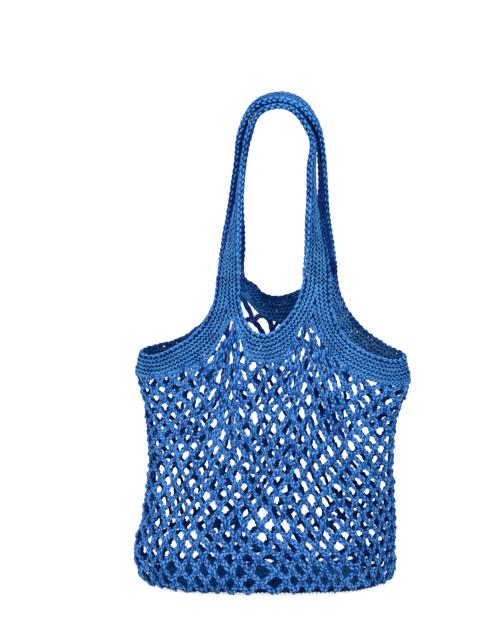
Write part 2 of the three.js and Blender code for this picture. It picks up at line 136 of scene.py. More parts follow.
# Strap roots anticlockwise from above: strap, side, face, centre, gather of the strap's width; and
# the net's peak below: its height, its place beside the centre, its outer and inner reach
ROOTS = [
    ("back", 1, 1, 0.192, 1.00, 1.230, -0.020, 0.076, 0.052),
    ("back", -1, 1, -0.166, 0.94, 1.230, 0.020, 0.080, 0.080),
    ("front", -1, -1, -0.155, 0.84, 1.150, 0.017, 0.064, 0.046),
    ("front", 1, -1, 0.176, 1.00, 1.142, -0.042, 0.100, 0.050),
]

# Free edge after each root: lowest height, its place, and the curve's exponents on either side
EDGES = [
    (BACK_NECK, 0.05, 1.9, 1.9),
    (RIM_HEIGHT - 3.0, 0.0, 2.4, 2.25),
    (FRONT_NECK, -0.2, 2.3, 1.6),
    (RIM_HEIGHT + 1.0, 0.0, 2.8, 2.0),
]

# Small rises and dips along each free edge: place, width, height
RIPPLES = [
    [(0.7, 0.17, 9.0)],
    [(-0.27, 0.13, 3.0), (0.33, 0.17, -4.5)],
    [],
    [(-0.30, 0.18, -4.0)],
]

# Straps from root to apex, close to the solids': rise, distance from the apex at left and right,
# lean, left and right twist
STATIONS = {
    "front": np.array([
        [0.00, 1.000, 1.000, 1.00, 0.000, 0.000],
        [0.10, 0.962, 0.985, 0.92, 0.375, 0.380],
        [0.20, 0.920, 0.955, 0.82, 0.560, 0.600],
        [0.35, 0.848, 0.880, 0.71, 0.755, 0.800],
        [0.50, 0.784, 0.838, 0.56, 0.870, 0.930],
        [0.65, 0.731, 0.819, 0.39, 0.930, 0.955],
        [0.78, 0.668, 0.850, 0.22, 0.950, 1.045],
        [0.88, 0.572, 0.685, 0.10, 0.950, 0.960],
        [0.96, 0.425, 0.422, 0.03, 0.910, 0.940],
    ]),
    "back": np.array([
        [0.00, 1.000, 1.000, 1.00, 0.000, 0.000],
        [0.10, 0.971, 1.000, 0.92, 0.310, 0.320],
        [0.20, 0.940, 0.990, 0.82, 0.510, 0.500],
        [0.35, 0.905, 0.975, 0.71, 0.750, 0.700],
        [0.50, 0.865, 0.980, 0.56, 0.870, 0.830],
        [0.65, 0.803, 0.949, 0.39, 0.940, 0.850],
        [0.78, 0.770, 0.892, 0.22, 0.980, 0.880],
        [0.88, 0.668, 0.745, 0.10, 1.050, 0.990],
        [0.96, 0.470, 0.455, 0.03, 1.090, 1.080],
    ]),
}
# Share of the way up over which a gathered root opens to the strap's full width
OPENING_RISE = 0.3


def smoothstep(x, low, high):
    t = np.clip((x - low) / (high - low), 0, 1)
    return t * t * (3 - 2 * t)


def signed_power(value, power):
    return np.sign(value) * np.abs(value) ** power


def unit(v):
    return v / np.maximum(np.linalg.norm(v, axis=-1, keepdims=True), 1e-12)


def bell(x, place, reach):
    return np.exp(-((x - place) / reach) ** 2)


def along(table, at):
    """Smooth values of a table at places between its rows; the first column is the place."""
    key = table[:, 0]
    at = np.asarray(at, float)
    i = np.clip(np.searchsorted(key, at, side="left") - 1, 0, len(key) - 2)
    rows = [np.maximum(i - 1, 0), i, i + 1, np.minimum(i + 2, len(key) - 1)]
    step = (key[rows[2]] - key[rows[1]])[..., None]
    f = np.clip((at - key[rows[1]])[..., None] / step, 0, 1)

    def slope(a, b):
        return (table[b] - table[a]) / np.maximum((key[b] - key[a])[..., None], 1e-9)

    before, after = slope(rows[0], rows[2]) * step, slope(rows[1], rows[3]) * step
    p, q = table[rows[1]], table[rows[2]]
    bend = (p - q) * 2 + before + after
    return ((bend * f + (q - p) * 3 - before * 2 - after) * f + before) * f + p


def section_at(z):
    """Half width, half depth, shift, power and turn of the plan at a height."""
    values = along(SECTIONS, np.asarray(z, float) / RIM_HEIGHT)
    return {
        "a": values[..., 1] * BODY_WIDTH / 2,
        "b": values[..., 2] * BODY_DEPTH / 2,
        "shift": values[..., 3] * BODY_WIDTH,
        "power": 2 / values[..., 4],
        "turn": np.radians(values[..., 5]),
    }


def plain_point(angle, z):
    """Point of the plan at a height, without folds."""
    s = section_at(z)
    x = s["a"] * signed_power(np.cos(angle), s["power"])
    y = s["b"] * signed_power(np.sin(angle), s["power"])
    c, n = np.cos(s["turn"]), np.sin(s["turn"])
    return x * c - y * n + s["shift"], x * n + y * c


# Shares of the way round at even steps of the plan's angle, measured half way up
PLAN_STEPS = 720
ANGLES = np.linspace(0, 2 * np.pi, PLAN_STEPS + 1)
ring_x, ring_y = plain_point(ANGLES, RIM_HEIGHT / 2)
SHARES = np.concatenate([[0], np.cumsum(np.hypot(np.diff(ring_x), np.diff(ring_y)))])
GIRTH = SHARES[-1]
SHARES /= GIRTH


def angle_of(share):
    return np.interp(np.mod(share, 1), SHARES, ANGLES)


def share_of_x(x, face, z):
    s = section_at(z)
    cosine = signed_power(np.clip((x - s["shift"]) / s["a"], -1, 1), 1 / s["power"])
    angle = np.arccos(cosine) if face > 0 else 2 * np.pi - np.arccos(cosine)
    return np.interp(angle, ANGLES, SHARES)


def fold_at(x, y, z):
    """How far the folds move the cloth outwards; they fade out towards the bag's ends."""
    total = np.zeros(np.broadcast(x, y, z).shape)
    for face, x0, z0, x1, z1, width, depth in FOLDS:
        ax, az = x0 * BODY_WIDTH, z0 * RIM_HEIGHT
        bx, bz = x1 * BODY_WIDTH - ax, z1 * RIM_HEIGHT - az
        t = np.clip(((x - ax) * bx + (z - az) * bz) / (bx * bx + bz * bz), 0, 1)
        away = np.hypot(x - ax - t * bx, z - az - t * bz)
        on_face = smoothstep(face * y / BODY_DEPTH, 0.05, 0.2)
        total += depth * BODY_DEPTH * on_face * bell(away, 0, width * BODY_WIDTH)
    return total


def cloth(share, z, depth):
    """Points of the cloth, and the direction out of it."""
    share, z, depth = np.broadcast_arrays(share, z, depth)
    angle = angle_of(share)
    nudge = 0.01
    x, y = plain_point(angle, z)
    bx, by = plain_point(angle - nudge, z)
    ax, ay = plain_point(angle + nudge, z)
    out = unit(np.stack([ay - by, bx - ax], -1))
    move = (fold_at(x, y, z) - depth)[..., None]
    flat = np.stack([x, y], -1) + out * move
    towards_end = np.minimum(np.abs(x) * 2 / BODY_WIDTH, 1) ** 4
    held = np.where(x > 0, RIGHT_HELD, LEFT_HELD) * towards_end
    sag = SAG * (1 - smoothstep(z, 0, SAG_TOP)) * (1 - held)
    points = np.concatenate([flat, (z - sag)[..., None]], -1)
    return points, np.concatenate([out, np.zeros(z.shape + (1,))], -1)


def place_on_cloth(points):
    """Share and height of the place in the middle of the cloth nearest to each given point."""
    guess = points
    for _ in range(6):
        z = guess[..., 2]
        s = section_at(z)
        x, y = guess[..., 0] - s["shift"], guess[..., 1]
        c, n = np.cos(s["turn"]), np.sin(s["turn"])
        u, v = x * c + y * n, y * c - x * n
        angle = np.arctan2(signed_power(v / s["b"], 1 / s["power"]),
                           signed_power(u / s["a"], 1 / s["power"]))
        share = np.interp(np.mod(angle, 2 * np.pi), ANGLES, SHARES)
        reached, out = cloth(share, z, WALL / 2)
        missed = points - reached
        guess = guess + missed - out * (missed * out).sum(-1, keepdims=True)
    return share, z


def rim_point(share):
    return plain_point(angle_of(share), RIM_HEIGHT)


def net_top(share):
    """Height at which the net ends: a band below rims and necks, with peaks at the roots."""
    x, y = rim_point(share)
    neck = np.where(y > 0, BACK_NECK, FRONT_NECK)
    inwards = smoothstep(1 - np.abs(x) * 2 / BODY_WIDTH, 0, 0.75)
    plain = RIM_HEIGHT + (neck - RIM_HEIGHT) * inwards - BAND_HEIGHT
    top = plain.copy()
    for _, side, face, centre, _, peak, aside, outer, inner in ROOTS:
        out = (x - (centre + aside) * BODY_WIDTH) * side
        reach = np.where(out > 0, outer, inner) * BODY_WIDTH
        top += (peak * RIM_HEIGHT - plain) * bell(out, 0, reach) * (face * y > 0)
    return top


def root_span(root):
    """Shares of the way round between which a strap root lies."""
    _, _, face, centre, gather = root[:5]
    half = face * gather * STRAP_WIDTH / 2
    return [float(share_of_x(centre * BODY_WIDTH + e, face, ROOT_HEIGHT)) for e in (half, -half)]


SPANS = [root_span(root) for root in ROOTS]


def edge_line(i, count):
    """Share and height along the free edge after root i."""
    low, low_at, before, after = EDGES[i]
    part = np.linspace(0, 1, count)
    part = (1 - np.cos(part * np.pi)) / 2
    start = SPANS[i][1]
    span = (SPANS[(i + 1) % len(SPANS)][0] - start) % 1
    p = part * 2 - 1
    away = np.where(p < low_at, (low_at - p) / (low_at + 1), (p - low_at) / (1 - low_at))
    bend = np.where(p < low_at, before, after)
    z = low + (ROOT_HEIGHT - low) * (1 - (1 - np.minimum(away, 1) ** bend) ** (1 / bend))
    for place, width, rise in RIPPLES[i]:
        z = z + rise * bell(p, place, width)
    return start + span * part, z


# Yarn geometry

# Swell of a plait's strands, and a close row's unevenness, reach across and deep, and loose ends
STRAND_RADIUS, STRAND_SWELL = 0.9, 0.22
UNEVEN_TURN, UNEVEN_RADIUS, UNEVEN_DEPTH = 0.2, 0.08, 0.35
ROW_REACH, ROW_INSET = 0.51, 0.93
FACE_REACH, FACE_INSET = 0.5, 0.95
LOOSE_END = 0.3
TWIST_START = 50


def add_object(name, data):
    made = bpy.data.objects.new(name, data)
    bpy.context.scene.collection.objects.link(made)
    return made


class Yarns:
    """Tubes of yarn gathered into one mesh."""

    def __init__(self, name):
        self.name = name
        self.points, self.faces, self.uvs, self.relief, self.count = [], [], [], [], 0

    def add(self, centres, radius, reference, relief=np.pi / 2, closed=False):
        """Tubes round many lines at once. centres: lines, points, 3. radius and relief broadcast
        over lines, points. relief: an angle whose sine says how near the yarn lies to a face, which
        sets how much painted shade it gets."""
        centres = np.asarray(centres, float)
        lines, n = centres.shape[:2]
        radius = np.broadcast_to(radius, (lines, n))
        if closed:
            ahead, behind = np.roll(centres, -1, 1), np.roll(centres, 1, 1)
            tangent = unit(ahead - behind)
        else:
            tangent = unit(np.gradient(centres, axis=1))
        side = unit(np.cross(np.broadcast_to(reference, centres.shape), tangent))
        up = np.cross(tangent, side)
        turn = np.arange(SIDES) * 2 * np.pi / SIDES
        ring = side[:, :, None] * np.cos(turn)[:, None] + up[:, :, None] * np.sin(turn)[:, None]
        points = centres[:, :, None] + ring * radius[:, :, None, None]
        index = self.count + np.arange(lines * n * SIDES).reshape(lines, n, SIDES)
        follow = np.roll(index, -1, 2)
        if closed:
            a, b, c, d = index, follow, np.roll(follow, -1, 1), np.roll(index, -1, 1)
        else:
            a, b, c, d = index[:, :-1], follow[:, :-1], follow[:, 1:], index[:, 1:]
        faces = np.stack([a, b, c, d], -1).reshape(-1, 4)
        length = np.linalg.norm(np.diff(centres, axis=1), axis=2).cumsum(1)
        # each yarn starts at a random place of its twist
        begin = rng.uniform(0, TWIST_START, (lines, 1))
        length = np.concatenate([np.zeros((lines, 1)), length], 1) + begin
        if closed:
            length = np.concatenate([length, length[:, -1:] + 2], 1)
        start, end = length[:, :-1, None] + 0 * turn, length[:, 1:, None] + 0 * turn
        near = np.broadcast_to(np.arange(SIDES) / SIDES, start.shape)
        far = near + 1 / SIDES
        corners = [(start, near), (start, far), (end, far), (end, near)]
        self.uvs.append(np.stack([np.stack(c, -1) for c in corners], -2).reshape(-1, 4, 2))
        self.points.append(points.reshape(-1, 3))
        self.relief.append(np.repeat(np.broadcast_to(relief, (lines, n)).ravel(), SIDES))
        self.faces.append(faces)
        self.count += lines * n * SIDES

    def sheet(self, grid, holes=0):
        """A plain sheet of a grid of points, with a share of its cells left open."""
        rows, columns = grid.shape[:2]
        index = self.count + np.arange(rows * columns).reshape(rows, columns)
        cells = [index[:-1, :-1], index[:-1, 1:], index[1:, 1:], index[1:, :-1]]
        cells = np.stack(cells, -1).reshape(-1, 4)
        holes = np.broadcast_to(holes, (rows - 1, columns - 1)).ravel()
        cells = cells[rng.random(len(cells)) >= holes]
        self.faces.append(cells)
        self.points.append(grid.reshape(-1, 3))
        self.uvs.append(np.full((len(cells), 4, 2), 0.25))
        self.relief.append(np.full(rows * columns, np.pi / 2))
        self.count += rows * columns

    def build(self, material, node, slot):
        """The piece in the scene, standing for a node of the solids."""
        points = (np.concatenate(self.points) + SHIFT) / MM
        faces = np.concatenate(self.faces)
        mesh = bpy.data.meshes.new(self.name)
        mesh.vertices.add(len(points))
        mesh.vertices.foreach_set("co", points.astype(np.float32).ravel())
        mesh.loops.add(faces.size)
        mesh.loops.foreach_set("vertex_index", faces.astype(np.int32).ravel())
        mesh.polygons.add(len(faces))
        mesh.polygons.foreach_set("loop_start", np.arange(0, faces.size, 4, dtype=np.int32))
        mesh.polygons.foreach_set("use_smooth", np.ones(len(faces), bool))
        mesh.update(calc_edges=True)
        layer = mesh.uv_layers.new(name="yarn")
        layer.data.foreach_set("uv", np.concatenate(self.uvs).astype(np.float32).ravel())
        relief = mesh.attributes.new("relief", "FLOAT", "POINT")
        relief.data.foreach_set("value", np.concatenate(self.relief).astype(np.float32))
        mesh.materials.append(material)
        piece = add_object(self.name, mesh)
        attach(piece, "root")
        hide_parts(node)


def braid(yarns, line, out, phase, half_width, half_depth, radius, crown=None):
    """Three strands plaited along each of many lines. line, out: lines, points, 3. phase: lines,
    points. crown: the direction that the yarns' painted highlight faces, where it isn't out."""
    tangent = unit(np.gradient(line, axis=1))
    side = unit(np.cross(out, tangent))
    normal = np.cross(tangent, side)
    for k in range(STRANDS):
        at = phase + k * 2 * np.pi / STRANDS
        across = (half_width * np.cos(at))[..., None]
        deep = (half_depth * np.sin(2 * at))[..., None]
        swell = radius * (STRAND_RADIUS + STRAND_SWELL * np.abs(np.sin(2 * at)))
        lit = normal if crown is None else crown
        yarns.add(line + side * across + normal * deep, swell, lit, 2 * at)


def resample(line, step):
    """Evenly spaced points along an open line, with what each point carries, and its length."""
    run = np.linalg.norm(np.diff(line[:, :3], axis=0), axis=1).cumsum()
    run = np.concatenate([[0], run])
    count = max(int(round(run[-1] / step)), 2)
    at = np.linspace(0, run[-1], count + 1)
    return np.stack([np.interp(at, run, line[:, i]) for i in range(line.shape[1])], 1), run[-1]


def noise(shape, smooth=0):
    """Seeded random values, smoothed along the last axis."""
    values = rng.standard_normal(shape)
    if not smooth:
        return values
    kernel = np.hanning(smooth * 2 + 3)[1:-1]
    kernel /= np.sqrt((kernel ** 2).sum())
    pad = len(kernel)

    def smoothed(row):
        return np.convolve(np.pad(row, pad, mode="wrap"), kernel, "same")

    return np.apply_along_axis(smoothed, -1, values)[..., pad:-pad]


def runs(labels):
    """First and last index of each run of equal labels, each reaching a point into the next run."""
    starts = np.flatnonzero(np.concatenate([[True], labels[1:] != labels[:-1]]))
    ends = np.append(starts[1:], len(labels) - 1)
    return [(a, b) for a, b in zip(starts, ends) if b > a]


def rounded(values, reach):
    """Columns of values along a closed line, whose last row repeats its first, smoothed."""
    kernel = np.hanning(2 * reach + 3)[1:-1]
    kernel /= kernel.sum()
    ring = np.concatenate([values[-1 - reach:-1], values, values[1:reach + 1]])
    return np.stack([np.convolve(column, kernel, "valid") for column in ring.T], 1)


def crochet_row(pieces, line, out, width=ROW, thickness=WALL, labels=0, stitch=ROW_STITCH,
                per_period=8, bulk=0.24, closed=False, crown=None):
    """One row of close stitches along a line of points, as a plait a row wide and the cloth thick.
    pieces: the yarns that each label's stretch of the row goes to."""
    count = len(line)
    columns = [np.broadcast_to(v, count)[:, None] for v in (width, thickness, np.arange(count))]
    columns = [line, out, out if crown is None else crown] + columns
    joined, length = resample(np.concatenate(columns, 1), stitch * STRANDS / per_period)
    line, out, crown = joined[:, :3], unit(joined[:, 3:6]), unit(joined[:, 6:9])
    width, thickness = joined[:, 9], joined[:, 10]
    labels = np.broadcast_to(labels, count)[np.rint(joined[:, 11]).astype(int)]
    n = len(line)

    def uneven(smooth):
        values = noise((n - 1,), smooth)
        return np.append(values, values[0])

    periods = length / (stitch * STRANDS)
    periods = max(round(periods), 1) if closed else periods
    start = rng.uniform(0, RANDOM_TURN)
    phase = np.linspace(0, periods * 2 * np.pi, n) + start + uneven(6) * UNEVEN_TURN
    radius = width * bulk * (1 + UNEVEN_RADIUS * uneven(2))
    half_width = width * ROW_REACH - radius * ROW_INSET
    half_depth = thickness * FACE_REACH - radius * FACE_INSET
    line = line + out * (uneven(4) * UNEVEN_DEPTH)[:, None]
    if not closed:
        radius[[0, -1]] *= LOOSE_END
    for a, b in runs(labels):
        parts = (line, out, phase, half_width, half_depth, radius, crown)
        braid(pieces[labels[a]], *(v[None, a:b + 1] for v in parts))


# Materials


def add_node(tree, kind, **values):
    """A shader node with its settings and, _ standing for a space, its inputs' values."""
    made = tree.nodes.new("ShaderNode" + kind)
    for key, value in values.items():
        if hasattr(made, key):
            setattr(made, key, value)
        else:
            made.inputs[key.replace("_", " ")].default_value = value
    return made


def maths(tree, operation, *inputs, **settings):
    """The result of a Math node, whose inputs are other nodes' results or numbers."""
    made = add_node(tree, "Math", operation=operation, **settings)
    for socket, value in zip(made.inputs, inputs):
        if isinstance(value, bpy.types.NodeSocket):
            tree.links.new(value, socket)
        else:
            socket.default_value = value
    return made.outputs[0]


def new_material(name, values):
    """A material, its nodes, and its shader with the given values."""
    material = bpy.data.materials.new(name)
    material.use_nodes = True
    tree = material.node_tree
    shader = tree.nodes["Principled BSDF"]
    for key, value in values.items():
        shader.inputs[key].default_value = value
    return material, tree, shader


# Plies in a strand, and the length in millimetres over which they turn once
PLIES, PLY_LENGTH = 3, 3.4
# Places along X, in metres, where the painted shade on the yarn's side into the bag has its left
# and its right value
INSIDE_LEFT, INSIDE_RIGHT = 0.02, 0.08
# Places on the colour ramp of the painted shade in the hollows, the strands, and the painted
# highlight on their crowns
RAMP_PLACES = (0.42, 0.72, 1.0)


def cotton(name, colours, roughness=0.5, crest=0.74, inside=(0.62, 1.0), sharp=1.45):
    """Plied cotton yarn with fuzz and slightly uneven dye, its colour carrying painted shade and
    painted
    highlights. colours: from the painted shade of the hollows to the painted highlight of the
    crowns.
    crest: how light the painted crowns are. inside: how light the painted shade leaves the yarn's
    side into the bag, at the left and the right. sharp: how narrow the painted crowns are."""
    material, tree, shader = new_material(name, {
        "Roughness": roughness, "Specular IOR Level": 0.10, "Sheen Weight": 0.06,
        "Sheen Roughness": 0.5, "Sheen Tint": (0.2, 0.5, 1.0, 1)})
    link = tree.links.new
    uv = add_node(tree, "UVMap", uv_map="yarn")
    split = add_node(tree, "SeparateXYZ")
    link(uv.outputs["UV"], split.inputs[0])
    length, around = split.outputs["X"], split.outputs["Y"]
    place = add_node(tree, "TexCoord").outputs["Object"]
    fuzz = add_node(tree, "TexNoise", Scale=900.0, Detail=3.0, Roughness=0.65)
    link(place, fuzz.inputs["Vector"])
    dye = add_node(tree, "TexNoise", Scale=38.0, Detail=4.0, Roughness=0.6)
    link(place, dye.inputs["Vector"])

    # the plies, in relief with the fuzz
    twist = maths(tree, "MULTIPLY_ADD", length, 1 / PLY_LENGTH, around)
    wave = maths(tree, "SINE", maths(tree, "MULTIPLY", twist, PLIES * 2 * math.pi))
    height = maths(tree, "MULTIPLY_ADD", wave, 0.5, fuzz.outputs["Fac"])
    bump = add_node(tree, "Bump", Strength=0.5, Distance=0.0006)
    link(height, bump.inputs["Height"])
    link(bump.outputs["Normal"], shader.inputs["Normal"])

    # painted highlight and shade: the yarn's side towards the outside is its crown, painted
    # lighter; the side into the bag is painted darker, less so towards the right
    lateral = maths(tree, "SINE", maths(tree, "MULTIPLY", around, 2 * math.pi))
    across = add_node(tree, "SeparateXYZ")
    link(place, across.inputs[0])
    inward = add_node(tree, "MapRange", From_Min=INSIDE_LEFT, From_Max=INSIDE_RIGHT,
                      To_Min=-inside[0], To_Max=-inside[1])
    link(across.outputs["X"], inward.inputs["Value"])
    inner = maths(tree, "MULTIPLY", lateral, inward.outputs[0])
    crown = maths(tree, "POWER", maths(tree, "MAXIMUM", lateral, inner), sharp)

    # painted shade: strands are painted darker where they pass below others
    relief = add_node(tree, "Attribute", attribute_name="relief").outputs["Fac"]
    depth = maths(tree, "ABSOLUTE", maths(tree, "SINE", relief))
    lit = maths(tree, "MULTIPLY", crown, maths(tree, "MULTIPLY_ADD", depth, 0.8, 0.2))

    # random dye tone, with painted shade in the grooves between the plies
    uneven = maths(tree, "MULTIPLY", dye.outputs["Fac"], 0.8)
    plies = maths(tree, "MULTIPLY_ADD", wave, 0.12, uneven)
    blend = maths(tree, "MULTIPLY_ADD", lit, crest, plies, use_clamp=True)
    ramp = add_node(tree, "ValToRGB")
    ramp.color_ramp.elements.new(0.7)
    for stop, at, colour in zip(ramp.color_ramp.elements, RAMP_PLACES, colours):
        stop.position, stop.color = at, (*colour, 1)
    link(blend, ramp.inputs["Fac"])
    link(ramp.outputs["Color"], shader.inputs["Base Color"])
    return material


# Yarn colours from the painted shade in the hollows between the strands, through the strands' blue,
# to the painted highlight on their crowns
NET_BLUE = ((0.0012, 0.028, 0.270), (0.011, 0.164, 0.580), (0.130, 0.420, 0.90))
STRAP_BLUE = ((0.0002, 0.015, 0.175), (0.005, 0.156, 0.570), (0.120, 0.410, 0.88))
# near-black blue of the cores: painted shade where only shade shows between the stitches
CORE_SHADE_BLUE = ((0.0004, 0.005, 0.045), (0.0008, 0.008, 0.060), (0.0012, 0.012, 0.080))
net_cotton = cotton("net_cotton", NET_BLUE, inside=(0.32, 0.36))
band_cotton = cotton("band_cotton", STRAP_BLUE, crest=0.73, inside=(0.72, 1.0), sharp=1.8)
strap_cotton = cotton("strap_cotton", STRAP_BLUE, crest=0.74, inside=(0.5, 0.5), sharp=2.1)
base_cotton = cotton("base_cotton", STRAP_BLUE)
core_shade = cotton("core_shade", CORE_SHADE_BLUE, roughness=0.9)


# Net body

# Where the net's columns crowd, or spread by a negative pull, in shares of the body's width: under
# each root, under the back neck, at both ends, and at the foot's right front corner
FAN_REACH, FAN_PULL = 0.085, 0.2
NECK_PLACE, NECK_REACH, NECK_PULL = -0.06, 0.075, -1.1
ENDS_FROM, ENDS_TO, ENDS_PULL = 0.55, 0.8, -0.55
CORNER_PLACE, CORNER_REACH = 0.46, 0.06
CROWDING = 0.5
COLUMN_LEVELS = 10

# Arches by which the back's columns are moved, at shares of the way round
BACK_SHIFTS = ((0.0, 0.12, 0.25, 0.38, 0.5, 1.0), (0.0, 0.5, 0.3, 0.5, 0.0, 0.0))

# How the rounds' spacing changes up the net: under the peaks, everywhere, under the back neck
PEAK_REACH, PEAK_BEND, EVEN_BEND = 0.35, 0.4, 0.2
NECK_BEND, NECK_BEND_REACH = 0.35, 0.12

# The back's rounds start lower and slump together towards the foot
BACK_DROP = 8
LEVELS = np.linspace(0, 1, 201)
BACK_LEVELS = np.cumsum(0.34 + 0.56 * smoothstep(LEVELS, 0.1, 0.25)
                        + 0.3 * smoothstep(LEVELS, 0.45, 0.7))
BACK_LEVELS = (BACK_LEVELS - BACK_LEVELS[0]) / (BACK_LEVELS[-1] - BACK_LEVELS[0])

# An arch: its points, its plait's size, its span at rest, and how thick its chains get
ARCH_POINTS = 19
ARCH_HALF_WIDTH, ARCH_HALF_DEPTH = 2.6, 1.8
ARCH_SPAN, THINNEST, THICKEST, THINNING = 21.5, 0.5, 1.05, 1.1
UPPER_THINNER = 0.13
UNEVEN_YARN = 0.07
ARCH_ENDS = 0.5
ARCH_CORE = 0.8

# A knot: two turns of yarn round the top of an arch
KNOT_POINTS = 7
KNOT_RADIUS, KNOT_LIFT, KNOT_APART, KNOT_LEAN = 3.1, 0.6, 1.6, 0.9
LOWEST_YARN = 2.0


def column_tables():
    """Shares of the way round of the net's evenly counted columns, at even levels up the net."""
    fine = np.linspace(0, 1, PLAN_STEPS + 1)
    x, y = rim_point(fine)
    pull = np.zeros(PLAN_STEPS + 1)
    for _, _, face, centre, _, _, aside, _, _ in ROOTS:
        fan = bell(x, (centre + aside) * BODY_WIDTH, FAN_REACH * BODY_WIDTH)
        pull += FAN_PULL * fan * (face * y > 0)
    pull += NECK_PULL * bell(x / BODY_WIDTH, NECK_PLACE, NECK_REACH) * (y > 0)
    pull += ENDS_PULL * smoothstep(np.abs(x) * 2 / BODY_WIDTH, ENDS_FROM, ENDS_TO)
    corner = bell(x / BODY_WIDTH, CORNER_PLACE, CORNER_REACH) * (y < 0)
    tables = []
    for level in np.linspace(0, 1, COLUMN_LEVELS + 1):
        above = CROWDING * smoothstep(level, 0.35, 1.0) * pull
        below = CROWDING * (1 - smoothstep(level, 0.1, 0.3)) * corner
        density = 1 + above + below
        run = np.concatenate([[0], np.cumsum((density[1:] + density[:-1]) / 2)])
        tables.append(np.interp(fine, run / run[-1], fine))
    return np.array(tables)


COLUMNS = column_tables()


def column_share(column, level):
    """Share of the way round of a column of the net; column as a share of the columns."""
    at = np.clip(level, 0, 1) * COLUMN_LEVELS
    i = np.minimum(at.astype(int), COLUMN_LEVELS - 1)
    f = at - i
    place = np.mod(column, 1) * PLAN_STEPS
    j = np.minimum(place.astype(int), PLAN_STEPS - 1)
    g = place - j
    low = COLUMNS[i, j] * (1 - g) + COLUMNS[i, j + 1] * g
    high = COLUMNS[i + 1, j] * (1 - g) + COLUMNS[i + 1, j + 1] * g
    return low * (1 - f) + high * f + np.floor(column)


def net_place(column, level):
    """Share and height of a point of the net's lattice; column in arches, level 0 to 1."""
    share = column_share(column / ARCHES, level)
    share = share + np.interp(np.mod(share, 1), *BACK_SHIFTS) / ARCHES
    top = net_top(share)
    peak = np.clip((top - (RIM_HEIGHT - BAND_HEIGHT)) / (PEAK_REACH * RIM_HEIGHT), 0, 1)
    x, y = rim_point(share)
    neck = bell(x, 0, NECK_BEND_REACH * BODY_WIDTH) * (y > 0)
    bend = PEAK_BEND * peak - EVEN_BEND - NECK_BEND * neck
    rear = smoothstep(y / BODY_DEPTH, -0.05, 0.3)
    start = BASE_THICKNESS * 0.5 - BACK_DROP * rear
    level = level + (np.interp(level, LEVELS, BACK_LEVELS) - level) * rear
    height = start + (top - start) * ((1 - bend) * level + bend * level * level)
    return share, height


def make_net():
    """Rounds of chain arches, each arch from one knot over the next round's knot to the following
    one, in a piece for each quarter of the way round."""
    names = ("back_right", "back_left", "front_left", "front_right")
    quarters = [Yarns(f"net_{name}") for name in names]
    # how far each knot of the lattice strays round the bag, up it, and through the cloth
    lattice, turned = (ROUNDS + 2, ARCHES), (ARCHES, ROUNDS + 2)
    stray_share = (noise(lattice, 2) * 1.9 + noise(turned, 5).T * 2.3) / GIRTH
    stray_height = noise(turned, 2).T * 1.5 + noise(lattice, 6) * 2.3
    stray_depth = noise(lattice, 2) * 1.1
    t = np.linspace(0, 1, ARCH_POINTS)
    middle = ARCH_POINTS // 2
    rise = 1 - np.abs(2 * t - 1) ** 2.0
    first, last = (1 - t) ** 2, t ** 2
    i = np.arange(ARCHES)
    for r in range(ROUNDS):

        def strayed(stray):
            a, b = stray[r, i], stray[r, (i + 1) % ARCHES]
            top = stray[r + 1, (i + r % 2) % ARCHES]
            weighed = a[:, None] * first + b[:, None] * last + top[:, None] * rise
            return weighed / (first + last + rise)

        column = (i + (r % 2) / 2)[:, None] + t[None]
        level = (r + rise[None]) / ROUNDS + 0 * column
        share, z = net_place(column, np.minimum(level, 1))
        share = share + strayed(stray_share)
        z = np.maximum(z + strayed(stray_height), LOWEST_YARN)
        depth = WALL / 2 + strayed(stray_depth)
        line, out = cloth(share, z, depth)
        start = rng.uniform(0, RANDOM_TURN, (ARCHES, 1))
        phase = t[None] * CHAINS_PER_ARCH / STRANDS * 2 * np.pi + start
        # a stretched or gathered arch has thinner chains
        apart = np.linalg.norm(line[:, -1] - line[:, 0], axis=1)
        slack = np.clip(apart / ARCH_SPAN, THINNEST, THICKEST)[:, None] ** THINNING
        slack = slack * (1 - UPPER_THINNER * smoothstep(r / ROUNDS, 0.06, 0.3))
        radius = YARN * slack * (1 + UNEVEN_YARN * noise((ARCHES, ARCH_POINTS)))
        radius[:, [0, -1]] *= ARCH_ENDS
        half_width = ARCH_HALF_WIDTH * slack + 0 * radius
        half_depth = ARCH_HALF_DEPTH * slack + 0 * radius
        quarter = (np.mod(share[:, middle], 1) * len(quarters)).astype(int)
        picks = [(yarns, quarter == q) for q, yarns in enumerate(quarters)]
        for yarns, pick in picks:
            parts = (line, out, phase, half_width, half_depth, radius)
            braid(yarns, *(v[pick] for v in parts))
            # a core yarn along the plait's middle, painted in shade as lying deepest
            yarns.add(line[pick, ::2], radius[pick, ::2] * ARCH_CORE, out[pick, ::2], 0)
        # knots over the tops of this round's arches
        share, z, depth = share[:, middle], z[:, middle], depth[:, middle]
        centre, out = cloth(share, z, depth)
        ahead, _ = cloth(share + 1.0 / GIRTH, z, depth)
        run = unit(ahead - centre)
        up = unit(np.cross(run, out))
        up = np.where(up[:, 2:] < 0, -up, up)
        turn = np.linspace(0, 2 * np.pi, KNOT_POINTS, endpoint=False)[None, :, None]
        for way in (-1, 1):
            aside = way * (KNOT_APART + KNOT_LEAN * np.cos(turn))
            ring = (centre[:, None] + up[:, None] * (KNOT_RADIUS * np.cos(turn) + KNOT_LIFT)
                    + out[:, None] * (KNOT_RADIUS * np.sin(turn))
                    + run[:, None] * aside * slack[:, :, None])
            for yarns, pick in picks:
                yarns.add(ring[pick], YARN * slack[pick], run[pick][:, None], closed=True)
    for yarns in quarters:
        yarns.build(net_cotton, "net_body", "net_cotton")


# Mouth band

# Close rows along a free edge, points along it, the drop over which gathered rows open, and where
# the rows end short of each other and of the net
EDGE_ROWS, EDGE_POINTS, GATHER_REACH = 14, 500, 60
NECK_SLACK, SIDE_SLACK = 0.1, -0.45
ABOVE_NET = 1.5

